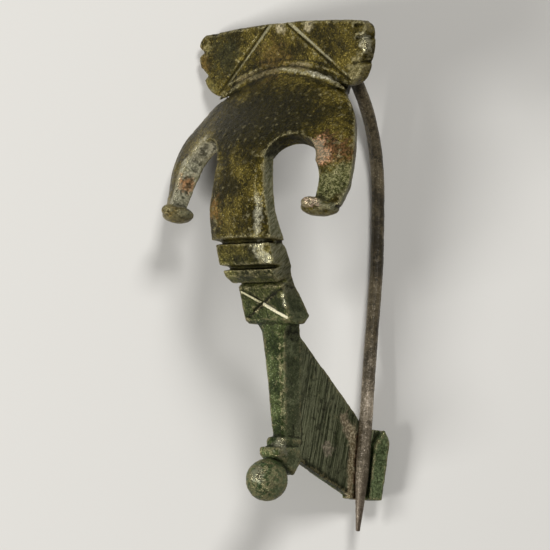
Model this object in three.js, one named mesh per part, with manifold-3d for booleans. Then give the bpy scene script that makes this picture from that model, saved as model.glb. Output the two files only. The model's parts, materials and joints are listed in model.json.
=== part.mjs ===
// Roman bow brooch of anchor form: a cast copper-alloy body, a hinge axle and a swinging pin.
//
// Maker's frame, in millimetres: x across the brooch, y up towards the head, z out towards the
// front. The origin is the middle of the head plate's face. The last section turns the finished
// brooch from that frame on to the side on which it lies when it is put down, with +Z up.

import * as THREE from 'three';
import { ParametricGeometry } from 'three/addons/geometries/ParametricGeometry.js';
import { mergeVertices } from 'three/addons/utils/BufferGeometryUtils.js';
import Module from 'manifold-3d';

const wasm = await Module();
wasm.setup();

// ---------------------------------------------------------------- driving dimensions

const HEAD_PLATE = {
  end: [[11.9, -4.3], [13.75, -3.1], [14.95, 0.1], [15.0, 2.7], [13.9, 3.75]],   // [x, y] down to up
  notches: [[14.45, -1.5], [15.15, 1.6]],   // [x, y] of the notches that part each end into lobes
  notchWidth: 2.1,
  notchFade: 0.9,       // how much shallower a notch is on the back
  peak: 0.7,            // rise of the top edge in the middle
  thickness: 1.9,
  shift: -0.6,          // the plate was cast a little to one side
  tilt: 8,              // degrees by which the plate leans forward at the top
  tiltAt: -1.0,
};
// Two lines incised on the head plate: [x, y] of their ends.
const TRIANGLE = [[[-11.6, -4.1], [-2.4, 4.2]], [[12.5, -4.1], [0.9, 4.3]]];
const INCISION = { triangle: 0.55, saltire: 0.42 };   // width of the incised lines

// Cowl, and the two arms that run down from it: [y, z of the crown line, half width].
const COWL = [[-1.2, 0.1, 10.2], [-3, 1.1, 10.5], [-4.8, 2.3, 11.3], [-6, 3.1, 12.3], [-8, 4.3, 13.9],
  [-10, 5.5, 15.1], [-12, 6.4, 15.9], [-14, 6.9, 16.3], [-16, 7.1, 16.4], [-18, 7.15, 16.25],
  [-20.4, 7.2, 15.7]];
// How far the cowl's plate is bent forward on its way into the arms: [y, whole arm, outer edge].
const ARM_LIFT = [[-6, 0, 0], [-8, 0, 0.15], [-10, 0, 0.5], [-12, 0, 0.7], [-14, 0.25, 0.6], [-16, 0.55, 0.45],
  [-18, 0.95, 0.15], [-20.4, 1.7, -0.2]];
const COWL_SIDES = 40;          // facets round the plate's section
const COWL_RADIUS = 30;
const COWL_THICKNESS = 2.45;
const COWL_ARCH = 1 / 46;      // the cowl's upper edge is an arch, deeper towards its ends
const COWL_ARCH_UNTIL = 6;     // how far down the cowl the arch has levelled out
const ARM_INNER = [5, 12];     // from and to which |x| the lift of the whole arm grows
const ARM_OUTER = [11, 16];    // the same for the lift of its outer edge
// Raised crescent over the cowl's edge, and the thin ridge along the plate just above it.
const CRESCENT = { half: 11.3, y: -2.1, z: 0.15, radius: 0.75 };
const UPPER_RIDGE = { half: 10.2, y: -0.8, z: -0.12, radius: 0.4 };

const CUT_OUT = { x: 7.95, y: -14.9, radius: 3.85, armEdge: 12.7, tiltOut: 22, tiltUp: 26 };
// Foot at the tip of an arm, and the small roll curled forward on it: half sizes [wide, high, deep].
const ARM_TIP = { x: 12.75, y: -20.7, z: 4.5, foot: [2.5, 1.1, 2.1], roll: [1.5, 0.8, 1.05],
  rollAt: [-0.85, 0.4, 1.3], slope: 36 };

// Stem between the arms: [y, half width, z of the face, z of the back].
const STEM = [[-12.4, 3.7, 6.4, 4.2], [-14.4, 4.2, 6.95, 4.5], [-16.5, 4.45, 7.15, 4.6],
  [-19.6, 4.85, 7.2, 4.45], [-22, 5.1, 6.9, 3.7], [-24.35, 5.3, 6.25, 2.4]];
const FACE_RADIUS = 25;        // the stem's face is slightly rounded across
const STEM_ROOM = { width: 11, top: -14.2, height: 12 };   // where the stem takes over from the cowl

// Core behind the bands: [y, half width, z of the face, z of the back].
const CORE = [[-22.5, 4.6, 5.2, 3.1], [-24.6, 4.72, 4.6, 2.2], [-26, 4.7, 4.1, 1.5], [-27.8, 4.55, 3.0, 0.3],
  [-29.3, 4.1, 1.1, -0.9], [-31, 3.5, 0, -2.6], [-33, 3.3, -0.9, -3.6], [-34.5, 2.6, -1.1, -4.2],
  [-35.2, 2.1, -1.3, -4.9], [-36, 2.0, -1.5, -5.2]];

// Two bands and the saltire block, seen from the side: [y, z] round each.
const BANDS = [
  { half: [4.75, 4.7], side: [[-24.85, 5.2], [-27.5, 4.3], [-27.4, 0.3], [-24.7, 2.0]] },
  { half: [4.55, 4.3], side: [[-28.05, 3.9], [-28.8, 3.4], [-29.5, 2.1], [-28.4, 0.0], [-27.2, 0.5]] },
];
const BLOCK = { bevel: 0.32, half: [3.85, 4.15], side: [[-29.9, 1.4], [-33.9, -0.55], [-34.3, -1.2],
  [-34.2, -3.4], [-33.0, -4.3], [-30.3, -2.1], [-28.6, -0.2], [-29.5, 1.25]] };

// Foot rib: [y, half width, z of the face, z of the back].
const RIB = [[-35.6, 2.0, -1.42, -5.1], [-42, 1.52, -2.76, -6.4], [-49, 1.14, -4.15, -7.6]];
const COLLAR_BEVEL = 0.38;
const COLLAR = [
  { half: [1.55, 1.55], side: [[-48.5, -3.45], [-49.7, -3.35], [-49.7, -6.9], [-48.5, -7.1]] },
  { half: [1.85, 1.85], side: [[-49.9, -2.5], [-51.0, -2.6], [-53.3, -5.9], [-51.5, -7.0], [-49.6, -6.9]] },
];
const BALL = { y: -54.13, z: -2.75, radius: 2.7, neck: 1.5 };

// Catch plate and the trough bent along its back edge.
const CATCH = { half: 0.65, side: [[-33.9, -4.3], [-44.2, -17.6], [-45.2, -18.8], [-55.2, -18.8],
  [-51.4, -8.4], [-50.8, -5.4]] };
const TROUGH = { top: -45.85, foot: -55.1, thickness: 1.3, lipGrowth: 0.45,
  lean: 0.075,          // the lip leans outwards towards its top
  bend: [[0, -17.5], [0, -19.0], [0.3, -19.9], [1.15, -20.4], [2.15, -20.4], [2.95, -19.98]],
  lipRoof: [[1.15, -1.9], [-1.0, -2.1]] };   // [across, down] from the lip's point to each shoulder

// Hinge: a slotted bracket behind the head plate, an axle through it, and the pin's eye on the axle.
const HINGE = { y: 1.0, z: -11.5, ear: 1.8, half: 2.1, slotHalf: 1.0, slotTop: -9.5 };
const BRACKET_ROOT = { half: [3.8, 3.8], side: [[2.9, -1.2], [2.6, -7.4], [-1.8, -7.4], [-3.4, -1.2]] };
const AXLE = { radius: 0.6, half: 2.35 };
const RUNNING_GAP = 0.13;
const PIN = { radius: 0.9, eye: 1.65, eyeHalf: 0.85, taperFrom: -52, tipRadius: 0.3 };
const PIN_LINE = [[0, 1.0, -11.5], [0.1, -2.4, -14.6], [0.35, -9.3, -17.7], [0.68, -22.5, -19.13],
  [1.15, -36, -18.8], [1.7, -50, -18.4], [1.85, -59.3, -18.25]];

// How the brooch lies: on its left, with its back half down, on the parts above `head`, below
// `trough` and on the pin. It settles from about `down` in a few turns.
const LYING = { down: [-0.75, 0, -0.66], head: -6, trough: -40, turns: 8 };

const BRONZE = { color: 0x4a4a2c, roughness: 0.5, metalness: 0.6 };
const PIN_METAL = { color: 0x6a5f57, roughness: 0.45, metalness: 0.7 };
const AXLE_METAL = { color: 0x5a4632, roughness: 0.7, metalness: 0.4 };

// ---------------------------------------------------------------- helpers

/** Value in a column of stations at y: a smooth curve through [y, value, value...] rows. */
function along(stations, y, column) {
  const last = stations.length - 1;
  let i = 0;
  while (i < last - 1 && y < stations[i + 1][0]) i += 1;
  const [a, b] = [stations[i], stations[i + 1]];
  const slope = (p, q) => (q[column] - p[column]) / (q[0] - p[0]);
  const before = i > 0 ? slope(stations[i - 1], b) : slope(a, b);
  const after = i < last - 1 ? slope(a, stations[i + 2]) : slope(a, b);
  const span = b[0] - a[0];
  const t = THREE.MathUtils.clamp((y - a[0]) / span, 0, 1);
  const [t2, t3] = [t * t, t * t * t];
  return (2 * t3 - 3 * t2 + 1) * a[column] + (t3 - 2 * t2 + t) * span * before
    + (3 * t2 - 2 * t3) * b[column] + (t3 - t2) * span * after;
}

/** A closed geometry as a solid: shared vertices merged, pinched triangles dropped, facing out. */
function solid(geometry) {
  const bare = geometry.clone();
  for (const name of Object.keys(bare.attributes)) {
    if (name !== 'position') bare.deleteAttribute(name);
  }
  const merged = mergeVertices(bare, 1e-4);
  const spots = merged.attributes.position;
  const corner = (i) => new THREE.Vector3().fromBufferAttribute(spots, i);
  const triangles = [];
  let volume = 0;
  for (let i = 0; i < merged.index.count; i += 3) {
    const [a, b, c] = [0, 1, 2].map((k) => merged.index.getX(i + k));
    if (a === b || b === c || c === a) continue;
    triangles.push([a, b, c]);
    volume += corner(a).dot(corner(b).cross(corner(c)));
  }
  const facing = volume < 0 ? triangles.map(([a, b, c]) => [a, c, b]) : triangles;
  return new wasm.Manifold(new wasm.Mesh({
    numProp: 3,
    vertProperties: Float32Array.from(spots.array),
    triVerts: Uint32Array.from(facing.flat()),
  }));
}

/** A solid from rings: pointAt(u, t) gives the point u of the way round the ring at t along. */
function loft(pointAt, sides, steps) {
  const centre = (t) => {
    const sum = new THREE.Vector3();
    for (let i = 0; i < sides; i += 1) sum.add(pointAt(i / sides, t));
    return sum.divideScalar(sides);
  };
  const place = (u, v, target) => {
    const row = Math.round(v * (steps + 2));
    const t = THREE.MathUtils.clamp((row - 1) / steps, 0, 1);
    const isEnd = row === 0 || row === steps + 2;
    target.copy(isEnd ? centre(t) : pointAt(u % 1, t));
  };
  return solid(new ParametricGeometry(place, sides, steps + 2));
}

/** Round a slab: a runs -1 to 1 across its face, and back again, h is 0 on the face and -1 on the back. */
function slabRing(u, sides, edge = 0.1) {
  const perSide = sides / 2;
  const place = Math.round(u * sides) % sides;
  const isFace = place < perSide;
  const a = isFace ? -1 + 2 * place / (perSide - 1) : 1 - 2 * (place - perSide) / (perSide - 1);
  const worn = edge * Math.abs(a) ** 14;
  return { a, h: isFace ? -worn : -1 + worn };
}

/** A bar along y from stations [y, half width, z of face, z of back], its face crowned across. */
function bar(stations, sides, steps) {
  const [start, end] = [stations[0][0], stations.at(-1)[0]];
  return loft((u, t) => {
    const y = THREE.MathUtils.lerp(start, end, t);
    const { a, h } = slabRing(u, sides);
    const x = a * along(stations, y, 1);
    const crown = FACE_RADIUS - Math.sqrt(FACE_RADIUS ** 2 - x * x);
    const face = along(stations, y, 2) - crown;
    return new THREE.Vector3(x, y, THREE.MathUtils.lerp(face, along(stations, y, 3), -h));
  }, sides, steps);
}

/** A block from a side outline of [y, z] points; half gives its half width at the top and foot. */
function sideBlock(side, half, bevel = 0.25) {
  const outline = new THREE.Shape(side.map(([y, z]) => new THREE.Vector2(y, z)));
  const geometry = new THREE.ExtrudeGeometry(outline, {
    depth: 2 - 2 * bevel / half[0],
    bevelThickness: bevel / half[0],
    bevelSize: bevel,
    bevelOffset: -bevel,
    bevelSegments: 2,
    steps: 1,
  });
  geometry.translate(0, 0, -1 + bevel / half[0]);
  const ys = side.map(([y]) => y);
  const spots = geometry.attributes.position;
  for (let i = 0; i < spots.count; i += 1) {
    const [y, z, x] = [spots.getX(i), spots.getY(i), spots.getZ(i)];
    const width = THREE.MathUtils.mapLinear(y, Math.max(...ys), Math.min(...ys), half[0], half[1]);
    spots.setXYZ(i, x * width, y, z);
  }
  return solid(geometry);
}

/** A rod round a curve, its radius a function of the way along. */
function rod(curve, radiusAt, sides, steps) {
  const across = new THREE.Vector3(1, 0, 0);
  return loft((u, t) => {
    const heading = curve.getTangentAt(t);
    const side = across.clone().addScaledVector(heading, -across.dot(heading)).normalize();
    const out = side.clone().cross(heading);
    const turn = u * 2 * Math.PI;
    return curve.getPointAt(t)
      .addScaledVector(side, radiusAt(t) * Math.cos(turn))
      .addScaledVector(out, radiusAt(t) * Math.sin(turn));
  }, sides, steps);
}

/** A cylinder along x through [y, z]. */
function crossRod(radius, half, y, z, sides = 24) {
  const geometry = new THREE.CylinderGeometry(radius, radius, 2 * half, sides);
  geometry.rotateZ(Math.PI / 2);
  geometry.translate(0, y, z);
  return solid(geometry);
}

/** A V-shaped incision between two points of the surface. */
function incision(from, to, up, width) {
  const [start, end] = [new THREE.Vector3(...from), new THREE.Vector3(...to)];
  const length = start.distanceTo(end);
  const geometry = new THREE.BoxGeometry(length + width, width / Math.SQRT2, width / Math.SQRT2);
  geometry.rotateX(Math.PI / 4);
  const heading = end.clone().sub(start).normalize();
  const across = new THREE.Vector3(...up).cross(heading).normalize();
  const basis = new THREE.Matrix4().makeBasis(heading, across, heading.clone().cross(across));
  geometry.applyMatrix4(basis);
  const middle = start.add(end).multiplyScalar(0.5);
  return geometry.translate(middle.x, middle.y, middle.z);
}

/** All solids as one. */
function joined(...solids) {
  return solids.reduce((whole, piece) => whole.add(piece));
}

/** A solid as a named mesh. */
function meshOf(name, piece, look) {
  const { vertProperties, triVerts } = piece.getMesh();
  const geometry = new THREE.BufferGeometry();
  geometry.setAttribute('position', new THREE.BufferAttribute(Float32Array.from(vertProperties), 3));
  geometry.setIndex(new THREE.BufferAttribute(Uint32Array.from(triVerts), 1));
  geometry.computeVertexNormals();
  const mesh = new THREE.Mesh(geometry, new THREE.MeshStandardMaterial(look));
  mesh.name = name;
  return mesh;
}

// ---------------------------------------------------------------- head plate

/** The plate's shift and lean, applied to a geometry made flat at z = 0. */
function leant(geometry) {
  geometry.translate(HEAD_PLATE.shift, -HEAD_PLATE.tiltAt, 0);
  geometry.rotateX(THREE.MathUtils.degToRad(HEAD_PLATE.tilt));
  geometry.translate(0, HEAD_PLATE.tiltAt, 0);
  return geometry;
}

/** Trapezoid plate with rounded ends. */
function plateSlab() {
  const { end, peak, thickness } = HEAD_PLATE;
  const mirrored = end.map(([x, y]) => [-x, y]);
  const points = (corners) => corners.map((corner) => new THREE.Vector2(...corner));
  const [topX, topY] = end.at(-1);
  const outline = new THREE.Shape();
  outline.moveTo(...mirrored[0]);
  outline.lineTo(...end[0]);
  outline.splineThru(points(end.slice(1)));
  outline.quadraticCurveTo(0, topY + 2 * peak, -topX, topY);
  outline.splineThru(points(mirrored.toReversed().slice(1)));
  const worn = 0.2;
  const geometry = new THREE.ExtrudeGeometry(outline, {
    depth: thickness - 2 * worn,
    bevelThickness: worn,
    bevelSize: worn,
    bevelOffset: -worn,
    bevelSegments: 1,
    curveSegments: 5,
  });
  geometry.translate(0, 0, worn - thickness);
  return solid(leant(geometry));
}

/** Head plate, each end parted into three lobes by notches that fade towards the back. */
function headPlate() {
  const { notches, notchWidth, notchFade, thickness } = HEAD_PLATE;
  const tools = [1, -1].flatMap((side) => notches.map(([x, y]) => {
    const front = [side * x, y, 0.3];
    const back = [side * (x + notchFade), y, -thickness - 0.3];
    return solid(leant(incision(front, back, [side, 0, 0.4], notchWidth)));
  }));
  return tools.reduce((plate, tool) => plate.subtract(tool), plateSlab());
}

/** The two sloping lines on the head plate. */
function triangleLines() {
  return TRIANGLE.map(([foot, top]) => solid(leant(
    incision([...foot, 0], [...top, 0], [0, 0, 1], INCISION.triangle))));
}

// ---------------------------------------------------------------- cowl and arms

/** Bent plate of the cowl, which runs on down into both arms. */
function cowlPlate() {
  const [start, end] = [COWL[0][0], COWL.at(-1)[0]];
  return loft((u, t) => {
    const row = THREE.MathUtils.lerp(start, end, t);
    const { a, h } = slabRing(u, COWL_SIDES);
    const x = a * along(COWL, row, 2);
    const y = row - COWL_ARCH * x * x * (1 - THREE.MathUtils.smoothstep(-row, -start, COWL_ARCH_UNTIL));
    const lifted = Math.min(row, ARM_LIFT[0][0]);
    const lift = along(ARM_LIFT, lifted, 1) * THREE.MathUtils.smoothstep(Math.abs(x), ...ARM_INNER)
      + along(ARM_LIFT, lifted, 2) * THREE.MathUtils.smoothstep(Math.abs(x), ...ARM_OUTER);
    const z = along(COWL, row, 1) + lift - COWL_RADIUS + Math.sqrt(COWL_RADIUS ** 2 - x * x);
    const rise = (along(COWL, row + 0.1, 1) - along(COWL, row - 0.1, 1)) / 0.2;
    const outward = new THREE.Vector3(x / Math.sqrt(COWL_RADIUS ** 2 - x * x), -rise, 1).normalize();
    const thickness = COWL_THICKNESS * THREE.MathUtils.lerp(0.5, 1, Math.min(1, 5 * t))
      * (1 - 0.2 * THREE.MathUtils.smoothstep(Math.abs(a), 0.7, 1));
    return new THREE.Vector3(x, y, z).addScaledVector(outward, h * thickness);
  }, COWL_SIDES, 22);
}

/** A raised arch along the seam between head plate and cowl, thinning towards its ends. */
function arch({ half, y, z, radius }) {
  const points = [];
  for (let i = -4; i <= 4; i += 1) {
    const x = half * i / 4;
    points.push(new THREE.Vector3(x, y - COWL_ARCH * x * x, z));
  }
  const curve = new THREE.CatmullRomCurve3(points);
  const up = new THREE.Vector3(0, 0, 1);
  return loft((u, t) => {
    const heading = curve.getTangentAt(t);
    const out = heading.clone().cross(up);
    const turn = u * 2 * Math.PI;
    const width = radius * (0.35 + 0.65 * Math.sin(Math.PI * t));
    return curve.getPointAt(t)
      .addScaledVector(out, width * Math.cos(turn))
      .addScaledVector(up, 0.8 * width * Math.sin(turn));
  }, 8, 18);
}

/** What is cut away between one arm and the stem, its walls square to the cowl. */
function cutOut(side) {
  const { x, y, radius, armEdge, tiltOut, tiltUp } = CUT_OUT;
  const outline = new THREE.Shape();
  outline.moveTo(-radius, -12);
  outline.lineTo(-radius, 0);
  outline.absarc(0, 0, radius, Math.PI, 0, true);
  outline.quadraticCurveTo(armEdge - x, -1.2, armEdge - x, -3);
  outline.lineTo(armEdge - x - 0.6, -12);
  const geometry = new THREE.ExtrudeGeometry(outline, { depth: 20, bevelEnabled: false, curveSegments: 14 });
  geometry.translate(0, 0, -10);
  geometry.rotateX(-THREE.MathUtils.degToRad(tiltUp));
  geometry.rotateY(THREE.MathUtils.degToRad(tiltOut));
  geometry.translate(x, y, along(COWL, y, 1) - x * x / 2 / COWL_RADIUS);
  if (side < 0) geometry.scale(-1, 1, 1);
  return solid(geometry);
}

/** What is cut away of the cowl plate where the stem takes over. */
function stemRoom() {
  const { width, top, height } = STEM_ROOM;
  const geometry = new THREE.BoxGeometry(width, height, 30);
  geometry.translate(0, top - height / 2, 0);
  return solid(geometry);
}

/** Foot and roll at the tip of an arm. */
function armTip(side) {
  const { x, y, z, foot, roll, rollAt, slope } = ARM_TIP;
  const lump = (halves, at) => {
    const geometry = new THREE.SphereGeometry(1, 14, 9);
    geometry.scale(...halves);
    geometry.translate(...at);
    geometry.rotateY(THREE.MathUtils.degToRad(slope));
    geometry.translate(x, y, z);
    if (side < 0) geometry.scale(-1, 1, 1);
    return solid(geometry);
  };
  return lump(foot, [0, 0, 0]).add(lump(roll, rollAt));
}

// ---------------------------------------------------------------- stem, bands and saltire block

/** Two lines crossing corner to corner on the block's face. */
function saltireLines() {
  const face = BLOCK.side.slice(0, 2);
  const fromEdge = [-0.2, 0.35];
  const [top, foot] = face.map(([y, z], i) => [BLOCK.half[i] - 0.3, y + fromEdge[i], z]);
  const rise = top[1] - foot[1];
  const up = [0, foot[2] - top[2], rise];
  return [-1, 1].map((side) => solid(incision(
    [side * top[0], top[1], top[2]], [-side * foot[0], foot[1], foot[2]], up, INCISION.saltire)));
}

// ---------------------------------------------------------------- foot, ball and catch plate

function ball() {
  const geometry = new THREE.SphereGeometry(BALL.radius, 20, 14);
  geometry.translate(0, BALL.y, BALL.z);
  return solid(geometry);
}

/** Short neck from the collar's slanting underside into the ball. */
function ballNeck() {
  const under = COLLAR[1].side;
  const root = new THREE.Vector3(0, (under[1][0] + under[2][0]) / 2, (under[1][1] + under[2][1]) / 2);
  const middle = new THREE.Vector3(0, BALL.y, BALL.z);
  const heading = middle.clone().sub(root).normalize();
  const geometry = new THREE.CylinderGeometry(BALL.neck, BALL.neck, 3, 16);
  geometry.applyQuaternion(new THREE.Quaternion().setFromUnitVectors(new THREE.Vector3(0, 1, 0), heading));
  geometry.translate(root.x, root.y, root.z);
  return solid(geometry);
}

/** Outline of a strip along a smooth line of [x, z] points, growing thicker towards its end. */
function stripOutline(points, thickness, growth, count) {
  const line = new THREE.SplineCurve(points.map(([x, z]) => new THREE.Vector2(x, z)));
  const [left, right] = [[], []];
  for (let i = 0; i <= count; i += 1) {
    const spot = line.getPointAt(i / count);
    const heading = line.getTangentAt(i / count);
    const grown = thickness * (1 + growth * THREE.MathUtils.smoothstep(i / count, 0.5, 1));
    const across = new THREE.Vector2(-heading.y, heading.x).multiplyScalar(grown / 2);
    left.push(spot.clone().add(across));
    right.unshift(spot.clone().sub(across));
  }
  return new THREE.Shape([...left, ...right]);
}

/** J-shaped trough along the back of the catch plate, the top of its lip cut to a point. */
function trough() {
  const { top, foot, thickness, lipGrowth, lean, bend, lipRoof } = TROUGH;
  const geometry = new THREE.ExtrudeGeometry(stripOutline(bend, thickness, lipGrowth, 16), {
    depth: top - foot,
    bevelEnabled: false,
  });
  geometry.rotateX(Math.PI / 2);
  geometry.translate(0, top, 0);
  const spots = geometry.attributes.position;
  for (let i = 0; i < spots.count; i += 1) {
    const out = THREE.MathUtils.smoothstep(spots.getX(i), 0.7, bend.at(-1)[0]);
    spots.setX(i, spots.getX(i) + out * lean * (spots.getY(i) - foot));
  }
  const [beforeLip, lip] = bend.slice(-2).map(([x, z]) => new THREE.Vector3(x + lean * (top - foot), top, z));
  const outward = lip.clone().sub(beforeLip).normalize();
  const upward = new THREE.Vector3(0, 1, 0);
  const [inner, outer] = lipRoof;
  const roof = new THREE.Shape([[0, 0], inner, [3, inner[1]], [3, 2], [-3, 2], [-3, outer[1]], outer]
    .map((spot) => new THREE.Vector2(...spot)));
  const cut = new THREE.ExtrudeGeometry(roof, { depth: 3, bevelEnabled: false });
  cut.translate(0, 0, -1.9);
  cut.applyMatrix4(new THREE.Matrix4().makeBasis(upward.clone().cross(outward), upward, outward));
  cut.translate(lip.x, lip.y, lip.z);
  return solid(geometry).subtract(solid(cut));
}

// ---------------------------------------------------------------- hinge

/** Bracket behind the head plate, slotted for the pin's eye. */
function bracket() {
  const { y, z, ear, half, slotHalf, slotTop } = HINGE;
  const outline = new THREE.Shape();
  outline.moveTo(3.0, -1.5);
  outline.lineTo(y + ear, z);
  outline.absarc(y, z, ear, 0, -Math.PI, true);
  outline.lineTo(-3.2, -1.5);
  const geometry = new THREE.ExtrudeGeometry(outline, { depth: 2 * half, bevelEnabled: false, curveSegments: 12 });
  geometry.applyMatrix4(new THREE.Matrix4().set(0, 0, 1, -half, 1, 0, 0, 0, 0, 1, 0, 0, 0, 0, 0, 1));
  const slot = new THREE.BoxGeometry(2 * slotHalf, 12, 8);
  slot.translate(0, y, slotTop - 4);
  return solid(geometry)
    .subtract(solid(slot))
    .subtract(crossRod(AXLE.radius + RUNNING_GAP, half + 1, y, z));
}

function axle() {
  return crossRod(AXLE.radius, AXLE.half, HINGE.y, HINGE.z);
}

/** Pin with its eye round the axle, bowed away from the body and tapering to its point. */
function pin() {
  const line = new THREE.CatmullRomCurve3(PIN_LINE.map((p) => new THREE.Vector3(...p)), false, 'centripetal');
  const tipY = PIN_LINE.at(-1)[1];
  const radiusAt = (t) => {
    const { y } = line.getPointAt(t);
    const taper = THREE.MathUtils.clamp((PIN.taperFrom - y) / (PIN.taperFrom - tipY), 0, 1);
    return THREE.MathUtils.lerp(PIN.radius, PIN.tipRadius, taper);
  };
  const eye = crossRod(PIN.eye, PIN.eyeHalf, HINGE.y, HINGE.z, 24);
  return rod(line, radiusAt, 10, 36)
    .add(eye)
    .subtract(crossRod(AXLE.radius + RUNNING_GAP, PIN.eyeHalf + 1, HINGE.y, HINGE.z));
}

// ---------------------------------------------------------------- brooch

const castBody = joined(
  cowlPlate().subtract(cutOut(1)).subtract(cutOut(-1)).subtract(stemRoom()),
  headPlate(),
  arch(CRESCENT),
  arch(UPPER_RIDGE),
  armTip(1),
  armTip(-1),
  bar(STEM, 18, 17),
  bar(CORE, 12, 16),
  ...BANDS.map(({ side, half }) => sideBlock(side, half)),
  sideBlock(BLOCK.side, BLOCK.half, BLOCK.bevel),
  bar(RIB, 16, 8),
  ...COLLAR.map(({ side, half }) => sideBlock(side, half, COLLAR_BEVEL)),
  ball(),
  ballNeck(),
  sideBlock(CATCH.side, [CATCH.half, CATCH.half], 0.1),
  trough(),
  bracket(),
  sideBlock(BRACKET_ROOT.side, BRACKET_ROOT.half),
);
const carvedBody = [...triangleLines(), ...saltireLines()].reduce((body, line) => body.subtract(line), castBody);

const bodyMesh = meshOf('brooch_body', carvedBody, BRONZE);
const pinMesh = meshOf('pin', pin(), PIN_METAL);
const brooch = new THREE.Group();
brooch.add(bodyMesh, meshOf('hinge_axle', axle(), AXLE_METAL), pinMesh);

// ---------------------------------------------------------------- lying down

/** The lowest point of a piece in a direction, among those that are kept. */
function lowest(piece, down, keeps = () => true) {
  const places = piece.geometry.getAttribute('position');
  const found = new THREE.Vector3();
  const point = new THREE.Vector3();
  let depth = -Infinity;
  for (let i = 0; i < places.count; i += 1) {
    point.fromBufferAttribute(places, i);
    if (keeps(point) && point.dot(down) > depth) {
      depth = point.dot(down);
      found.copy(point);
    }
  }
  return found;
}

/** The way down when the brooch has settled on its head plate's left end, its trough and its pin. */
function settled() {
  const down = new THREE.Vector3(...LYING.down).normalize();
  for (let turn = 0; turn < LYING.turns; turn += 1) {
    const plateEnd = lowest(bodyMesh, down, ({ y }) => y > LYING.head);
    const hookBack = lowest(bodyMesh, down, ({ y }) => y < LYING.trough);
    const pinBack = lowest(pinMesh, down);
    down.crossVectors(pinBack.sub(plateEnd), hookBack.sub(plateEnd)).normalize();
  }
  return down;
}

// Down becomes the ground, and the length runs along +Y.
const up = settled().negate();
const headward = new THREE.Vector3(0, 1, 0);
headward.addScaledVector(up, -headward.dot(up)).normalize();
const makerAxes = new THREE.Matrix4().makeBasis(headward.clone().cross(up), headward, up);
brooch.quaternion.setFromRotationMatrix(makerAxes).invert();

const lying = new THREE.Group();
lying.add(brooch);
lying.updateMatrixWorld(true);
const box = new THREE.Box3().setFromObject(lying, true);
const middle = box.getCenter(new THREE.Vector3());
brooch.position.set(-middle.x, -middle.y, -box.min.z);

export default lying;
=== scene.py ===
import json
import math

import bpy
import numpy as np
from mathutils import Matrix, Vector
from mathutils.noise import fractal


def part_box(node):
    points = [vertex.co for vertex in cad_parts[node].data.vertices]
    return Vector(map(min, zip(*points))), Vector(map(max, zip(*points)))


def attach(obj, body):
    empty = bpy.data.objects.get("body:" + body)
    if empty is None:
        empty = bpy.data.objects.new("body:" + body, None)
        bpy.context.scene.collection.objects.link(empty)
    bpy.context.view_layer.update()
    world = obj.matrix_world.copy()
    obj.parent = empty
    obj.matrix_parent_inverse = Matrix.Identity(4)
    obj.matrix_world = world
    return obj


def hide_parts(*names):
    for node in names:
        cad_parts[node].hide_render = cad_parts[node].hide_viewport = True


# Roman bow brooch of anchor form: the worn, patinated surface of its cast body, the hinge axle
# with its peened ends and the drawn pin.
#
# Places are given in the maker's own millimetres: x across the brooch to its right, y up towards
# the head plate, z out to the front. place() turns them into places of the scene, where the brooch
# lies on its side.

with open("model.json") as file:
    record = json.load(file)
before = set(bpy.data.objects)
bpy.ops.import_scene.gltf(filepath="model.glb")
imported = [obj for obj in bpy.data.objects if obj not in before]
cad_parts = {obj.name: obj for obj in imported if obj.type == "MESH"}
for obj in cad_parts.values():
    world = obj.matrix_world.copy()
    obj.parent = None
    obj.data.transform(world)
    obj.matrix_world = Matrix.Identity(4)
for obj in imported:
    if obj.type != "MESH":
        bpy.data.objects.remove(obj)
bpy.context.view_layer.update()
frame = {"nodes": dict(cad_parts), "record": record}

MM = 0.001

hinge = frame["record"]["behaviour"]["joints"][0]
HINGE = Vector((0.0, 1.0, -11.5))            # the hinge, in the maker's millimetres
ACROSS = Vector(hinge["axis"]).normalized()
HEADWARD = Vector((0.0, ACROSS.z, -ACROSS.y)).normalized()
FORWARD = ACROSS.cross(HEADWARD)
MAKER_AXES = Matrix((ACROSS, HEADWARD, FORWARD)).transposed()
MAKER_ORIGIN = Vector(hinge["pos_m"]) - MAKER_AXES @ HINGE * MM


def place(x, y, z):
    """A point in the maker's millimetres as a point of the scene."""
    return MAKER_ORIGIN + MAKER_AXES @ Vector((x, y, z)) * MM


def heading(x, y, z):
    """A direction of the maker's frame as a direction of the scene."""
    return (MAKER_AXES @ Vector((x, y, z))).normalized()


# ---------------------------------------------------------------- working on meshes

def only(piece):
    """Selects one piece and makes it the active one."""
    bpy.ops.object.select_all(action="DESELECT")
    piece.select_set(True)
    bpy.context.view_layer.objects.active = piece


def merged_copy(node, name):
    """A copy of a node's mesh with its loose triangles joined up."""
    piece = frame["nodes"][node].copy()
    piece.data = piece.data.copy()
    piece.parent = None
    piece.matrix_world = Matrix.Identity(4)
    piece.name = piece.data.name = name
    piece.data.materials.clear()
    bpy.context.scene.collection.objects.link(piece)
    only(piece)
    bpy.ops.object.mode_set(mode="EDIT")
    bpy.ops.mesh.select_all(action="SELECT")
    bpy.ops.mesh.remove_doubles(threshold=0.002 * MM)
    bpy.ops.object.mode_set(mode="OBJECT")
    return piece


def settle(piece):
    """Puts a piece's place into its mesh."""
    only(piece)
    bpy.ops.object.transform_apply(location=True, rotation=True, scale=True)


def finish_with(piece, kind, **settings):
    """Adds a modifier with its settings and applies it."""
    only(piece)
    modifier = piece.modifiers.new(kind.title(), kind)
    for name, value in settings.items():
        setattr(modifier, name, value)
    bpy.ops.object.modifier_apply(modifier=modifier.name)


def turned_to(along, outward):
    """A turn that takes x along one direction and z outward from the surface."""
    x = along.normalized()
    y = outward.cross(x).normalized()
    return Matrix((x, y, x.cross(y))).transposed().to_4x4()


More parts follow.
